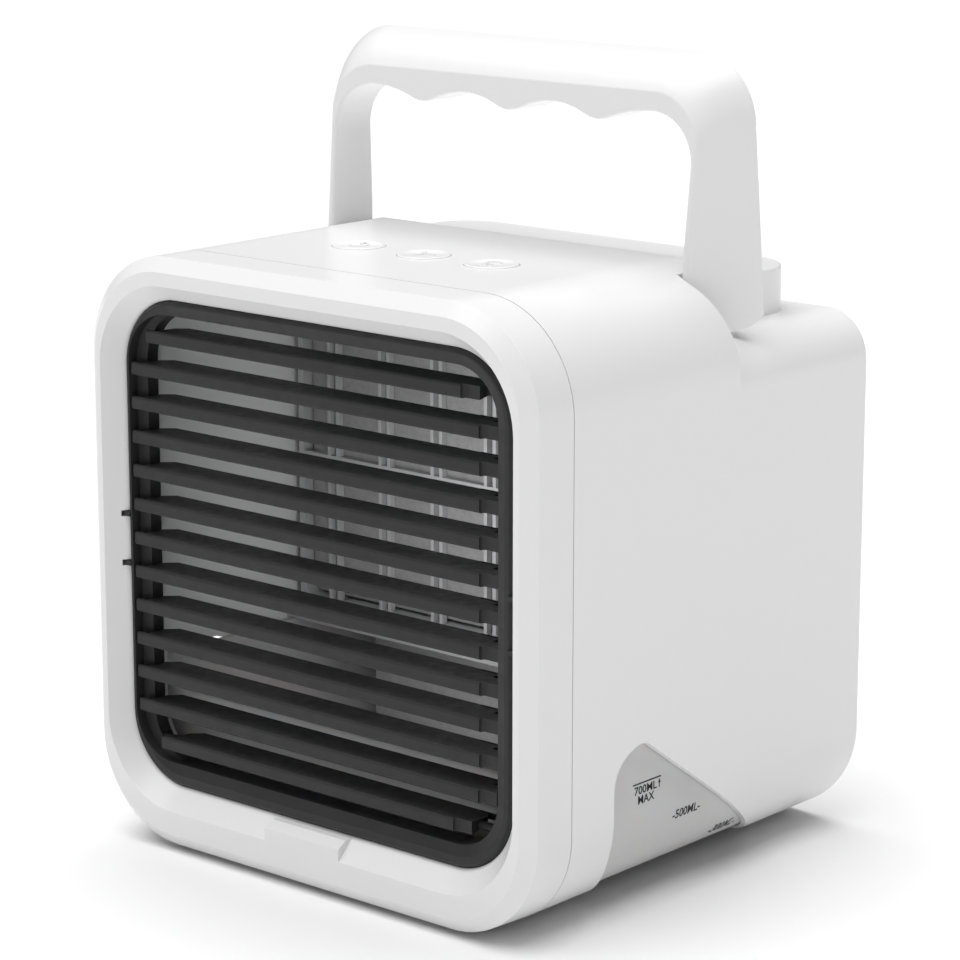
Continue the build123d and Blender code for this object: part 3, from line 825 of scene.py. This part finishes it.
def add_felt(low, high, nap):
    """A slab of felt: softened edges and a surface that wanders a little."""
    size = high - low
    bpy.ops.mesh.primitive_cube_add(size=1, location=(low + high) / 2, scale=size)
    slab = bpy.context.object
    apply_place()
    open_mesh("EDGE")
    bpy.ops.mesh.select_all(action="SELECT")
    bpy.ops.mesh.bevel(offset=min(size) * FELT_EDGE, segments=2)
    bpy.ops.mesh.select_all(action="SELECT")
    bpy.ops.mesh.subdivide(number_cuts=FELT_CUTS)
    close_mesh()
    clouds = bpy.data.textures.new("felt_clouds", type="CLOUDS")
    clouds.noise_scale = FELT_CLOUD
    wander = slab.modifiers.new("wander", "DISPLACE")
    wander.texture = clouds
    wander.texture_coords = "LOCAL"
    wander.strength = nap
    wander.mid_level = 1.0
    bpy.ops.object.modifier_apply(modifier=wander.name)
    bpy.data.textures.remove(clouds)
    return slab


class COOLER_OT_felt(Operator):
    """Model the felt pad of the cassette, its feed pad and the wick in the tank"""

    bl_idname = "cooler.felt"
    bl_label = "Felt"

    def execute(self, context):
        sizes = context.scene.cooler_sizes
        for name, source, body in (
            ("felt_filter_pad", "wick_pad", "casing"),
            ("felt_feed_pad", "transfer_pad", "casing"),
            ("felt_wick", "tank_wick", "tank"),
        ):
            pad = add_felt(*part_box(source), sizes.felt_nap)
            settle(pad, name, wick_felt, body, (source,))
        return {"FINISHED"}


# ---------------------------------------------------------------- fixings and feet

HEAD_RADIUS = 2.8 * MM
HEAD_HEIGHT = 1.2 * MM
HEAD_DOME = 0.7 * MM
SHANK_RADIUS = 1.4 * MM
SHANK_TIP = 0.4 * MM
# The cross recess: how long and wide its arms are, and how high the block that cuts each of them
CROSS_LENGTH, CROSS_WIDTH, CROSS_HEIGHT = 3.0 * MM, 0.6 * MM, 1.2 * MM


def add_screw(x, z, tip, top):
    """A screw that points forward: a domed head with a cross recess, and a shank."""
    bpy.ops.mesh.primitive_cylinder_add(
        vertices=48,
        radius=HEAD_RADIUS,
        depth=HEAD_HEIGHT,
        location=(x, top - HEAD_HEIGHT / 2, z),
        rotation=(math.pi / 2, 0, 0),
    )
    screw = bpy.context.object
    apply_place()
    open_mesh("EDGE")
    choose(lambda edge: all(point.co.y > top - NEAR for point in edge.verts), "edges")
    bpy.ops.mesh.bevel(offset=HEAD_DOME, segments=5)
    bpy.ops.mesh.select_mode(type="FACE")
    seat = top - HEAD_HEIGHT
    choose(lambda face: all(point.co.y < seat + NEAR for point in face.verts))
    shrink = SHANK_RADIUS / HEAD_RADIUS
    bpy.ops.mesh.extrude_region_move()
    bpy.ops.transform.resize(value=(shrink, 1, shrink), center_override=(x, seat, z))
    for run in (tip - seat + SHANK_TIP, -SHANK_TIP):
        bpy.ops.mesh.extrude_region_move(TRANSFORM_OT_translate={"value": (0, run, 0)})
    bpy.ops.transform.resize(value=(0.5, 1, 0.5), center_override=(x, tip, z))
    close_mesh()
    for wide, tall in ((CROSS_LENGTH, CROSS_WIDTH), (CROSS_WIDTH, CROSS_LENGTH)):
        cutter = add_block((x, top, z), (wide, CROSS_HEIGHT, tall))
        take(screw)
        recess = screw.modifiers.new("recess", "BOOLEAN")
        recess.operation = "DIFFERENCE"
        recess.object = cutter
        bpy.ops.object.modifier_apply(modifier=recess.name)
        bpy.data.objects.remove(cutter)
    return screw


class COOLER_OT_screws(Operator):
    """Model the casing screws with domed heads and cross recesses"""

    bl_idname = "cooler.screws"
    bl_label = "Case screws"

    def execute(self, context):
        low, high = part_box("case_screws")
        across = high.x - low.x - 2 * HEAD_RADIUS
        up = high.z - low.z - 2 * HEAD_RADIUS
        screw = add_screw(low.x + HEAD_RADIUS, low.z + HEAD_RADIUS, low.y, high.y)
        screws = copies(screw, ((0, 0, up), (across, 0, 0), (across, 0, up)))
        name, slot = "cross_head_screws", "screw_steel"
        settle(joined(screws), name, zinc_plate, "casing", ("case_screws",))
        return {"FINISHED"}


RIM_ROUNDING = 0.45 * MM
# Each step inwards over a foot's sole: how wide it is, and how far it goes out of the foot
SOLE_STEPS = ((1.4 * MM, 0), (0.4 * MM, -0.5 * MM), (1.6 * MM, 0), (0.3 * MM, 0.35 * MM))


def add_foot(x, y, low, high, radius):
    """A rubber foot with a rounded rim and a raised middle in a sunk ring."""
    bpy.ops.mesh.primitive_cylinder_add(
        vertices=64, radius=radius, depth=high - low, location=(x, y, (low + high) / 2)
    )
    foot = bpy.context.object
    apply_place()
    open_mesh("EDGE")
    choose(lambda edge: all(point.co.z < low + NEAR for point in edge.verts), "edges")
    bpy.ops.mesh.bevel(offset=RIM_ROUNDING, segments=4)
    bpy.ops.mesh.select_mode(type="FACE")
    choose(facing_down)
    for thickness, depth in SOLE_STEPS:
        bpy.ops.mesh.inset(thickness=thickness, depth=depth)
    close_mesh()
    return foot


class COOLER_OT_feet(Operator):
    """Model the rubber feet with a rounded rim and a sunk middle"""

    bl_idname = "cooler.feet"
    bl_label = "Rubber feet"

    def execute(self, context):
        radius = context.scene.cooler_sizes.foot_radius
        low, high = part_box("rubber_feet")
        across = high.x - low.x - 2 * radius
        back = high.y - low.y - 2 * radius
        foot = add_foot(low.x + radius, low.y + radius, low.z, high.z, radius)
        feet = copies(foot, ((0, back, 0), (across, 0, 0), (across, back, 0)))
        name = "moulded_feet"
        settle(joined(feet), name, foot_rubber, "casing", ("rubber_feet",))
        return {"FINISHED"}


# ---------------------------------------------------------------- kept pieces


class COOLER_OT_finishes(Operator):
    """Give each kept piece of the frame its finish"""

    bl_idname = "cooler.finishes"
    bl_label = "Moulding finishes"

    def execute(self, context):
        for recipe, names in KEPT_FINISHES:
            for name in names:
                piece = frame["nodes"][name]
                piece.data.materials.clear()
                piece.data.materials.append(material_of(recipe))
        return {"FINISHED"}


# ---------------------------------------------------------------- studio

FLOOR_PAPER = (0.93, 0.93, 0.93)
SUN_TURN = (math.radians(4), math.radians(-5), 0)
SUN_SPREAD = math.radians(70)
FRONT_BOX = {"place": (-0.6, -1.6, 0.8), "target": (0, 0, 0.1), "size": 1.2}
# The lamps behind the louvres: name, height and share of the inner light
INNER_BOXES = (("chamber_soft_box", 0.105, 1.0), ("tank_soft_box", 0.028, 0.5))
INNER_BOX_SIZE = 0.04
INNER_BOX_X = 0.01
INNER_BOX_Y = -0.05
INNER_TARGET_Y = 0.02
CAMERA_PLACE = (0.6157, -0.7119, 0.3234)
CAMERA_TARGET = Vector((-0.00373, 0.005, 0.1030))


def add_soft_box(name, place, target, size, power):
    """A large square lamp that looks at a point."""
    bpy.ops.object.light_add(type="AREA", location=place)
    lamp = bpy.context.object
    lamp.name = name
    lamp.rotation_euler = (Vector(target) - Vector(place)).to_track_quat("-Z", "Y").to_euler()
    lamp.data.size = size
    lamp.data.energy = power
    return lamp


class COOLER_OT_studio(Operator):
    """Set up the pale floor, the soft light and the camera"""

    bl_idname = "cooler.studio"
    bl_label = "Studio"

    def execute(self, context):
        scene = context.scene
        studio = scene.cooler_studio
        bpy.ops.mesh.primitive_plane_add(size=studio.floor_size, location=(0, 0, 0))
        floor = bpy.context.object
        floor.name = "studio_floor"
        paper = shader_for("pale_paper", FLOOR_PAPER, {"Roughness": 0.9})
        material, tree, surface, place = paper
        cloud = noise(tree, place, scale=1.5, detail=2)
        mottle(tree, surface, cloud, FLOOR_PAPER, spread=0.004)
        floor.data.materials.append(material)

        scene.world = bpy.data.worlds.new("studio_surround")
        scene.world.use_nodes = True
        surround = scene.world.node_tree.nodes["Background"]
        surround.inputs["Color"].default_value = (1, 1, 1, 1)
        surround.inputs["Strength"].default_value = studio.sky
        bpy.ops.object.light_add(type="SUN", rotation=SUN_TURN)
        sun = bpy.context.object
        sun.name = "soft_sun"
        sun.data.energy = studio.sun
        sun.data.angle = SUN_SPREAD
        add_soft_box("front_soft_box", power=studio.front_light, **FRONT_BOX)
        for name, height, share in INNER_BOXES:
            inner = add_soft_box(
                name,
                place=(INNER_BOX_X, INNER_BOX_Y, height),
                target=(INNER_BOX_X, INNER_TARGET_Y, height),
                size=INNER_BOX_SIZE,
                power=share * studio.inner_light,
            )
            inner.visible_camera = False
        scene.view_settings.view_transform = "Standard"

        bpy.ops.object.camera_add(location=CAMERA_PLACE)
        camera = bpy.context.object
        look = CAMERA_TARGET - camera.location
        camera.rotation_euler = look.to_track_quat("-Z", "Y").to_euler()
        camera.data.lens = studio.lens
        camera.data.sensor_width = 36
        scene.camera = camera
        return {"FINISHED"}


# ---------------------------------------------------------------- panel and registration

PIECE_OPERATORS = (
    COOLER_OT_finishes,
    COOLER_OT_buttons,
    COOLER_OT_marks,
    COOLER_OT_felt,
    COOLER_OT_screws,
    COOLER_OT_feet,
    COOLER_OT_studio,
)


class COOLER_PT_panel(Panel):
    """Sizes, colours and build steps of the air cooler."""

    bl_label = "Air Cooler"
    bl_idname = "COOLER_PT_panel"
    bl_space_type = "VIEW_3D"
    bl_region_type = "UI"
    bl_category = "Air Cooler"

    def draw(self, context):
        layout = self.layout
        for settings in ("cooler_sizes", "cooler_colours", "cooler_studio"):
            group = getattr(context.scene, settings)
            column = layout.column(align=True)
            for name in group.__annotations__:
                column.prop(group, name)
        for step in PIECE_OPERATORS:
            layout.operator(step.bl_idname)


SETTINGS = {
    "cooler_colours": CoolerColours,
    "cooler_sizes": CoolerSizes,
    "cooler_studio": CoolerStudio,
}
CLASSES = (*SETTINGS.values(), *PIECE_OPERATORS, COOLER_PT_panel)


def register():
    for kind in CLASSES:
        bpy.utils.register_class(kind)
    for name, group in SETTINGS.items():
        setattr(bpy.types.Scene, name, PointerProperty(type=group))


def unregister():
    for name in SETTINGS:
        delattr(bpy.types.Scene, name)
    for kind in reversed(CLASSES):
        bpy.utils.unregister_class(kind)


def main():
    register()
    for step in PIECE_OPERATORS:
        group, name = step.bl_idname.split(".")
        getattr(getattr(bpy.ops, group), name)()


if __name__ == "__main__":
    main()
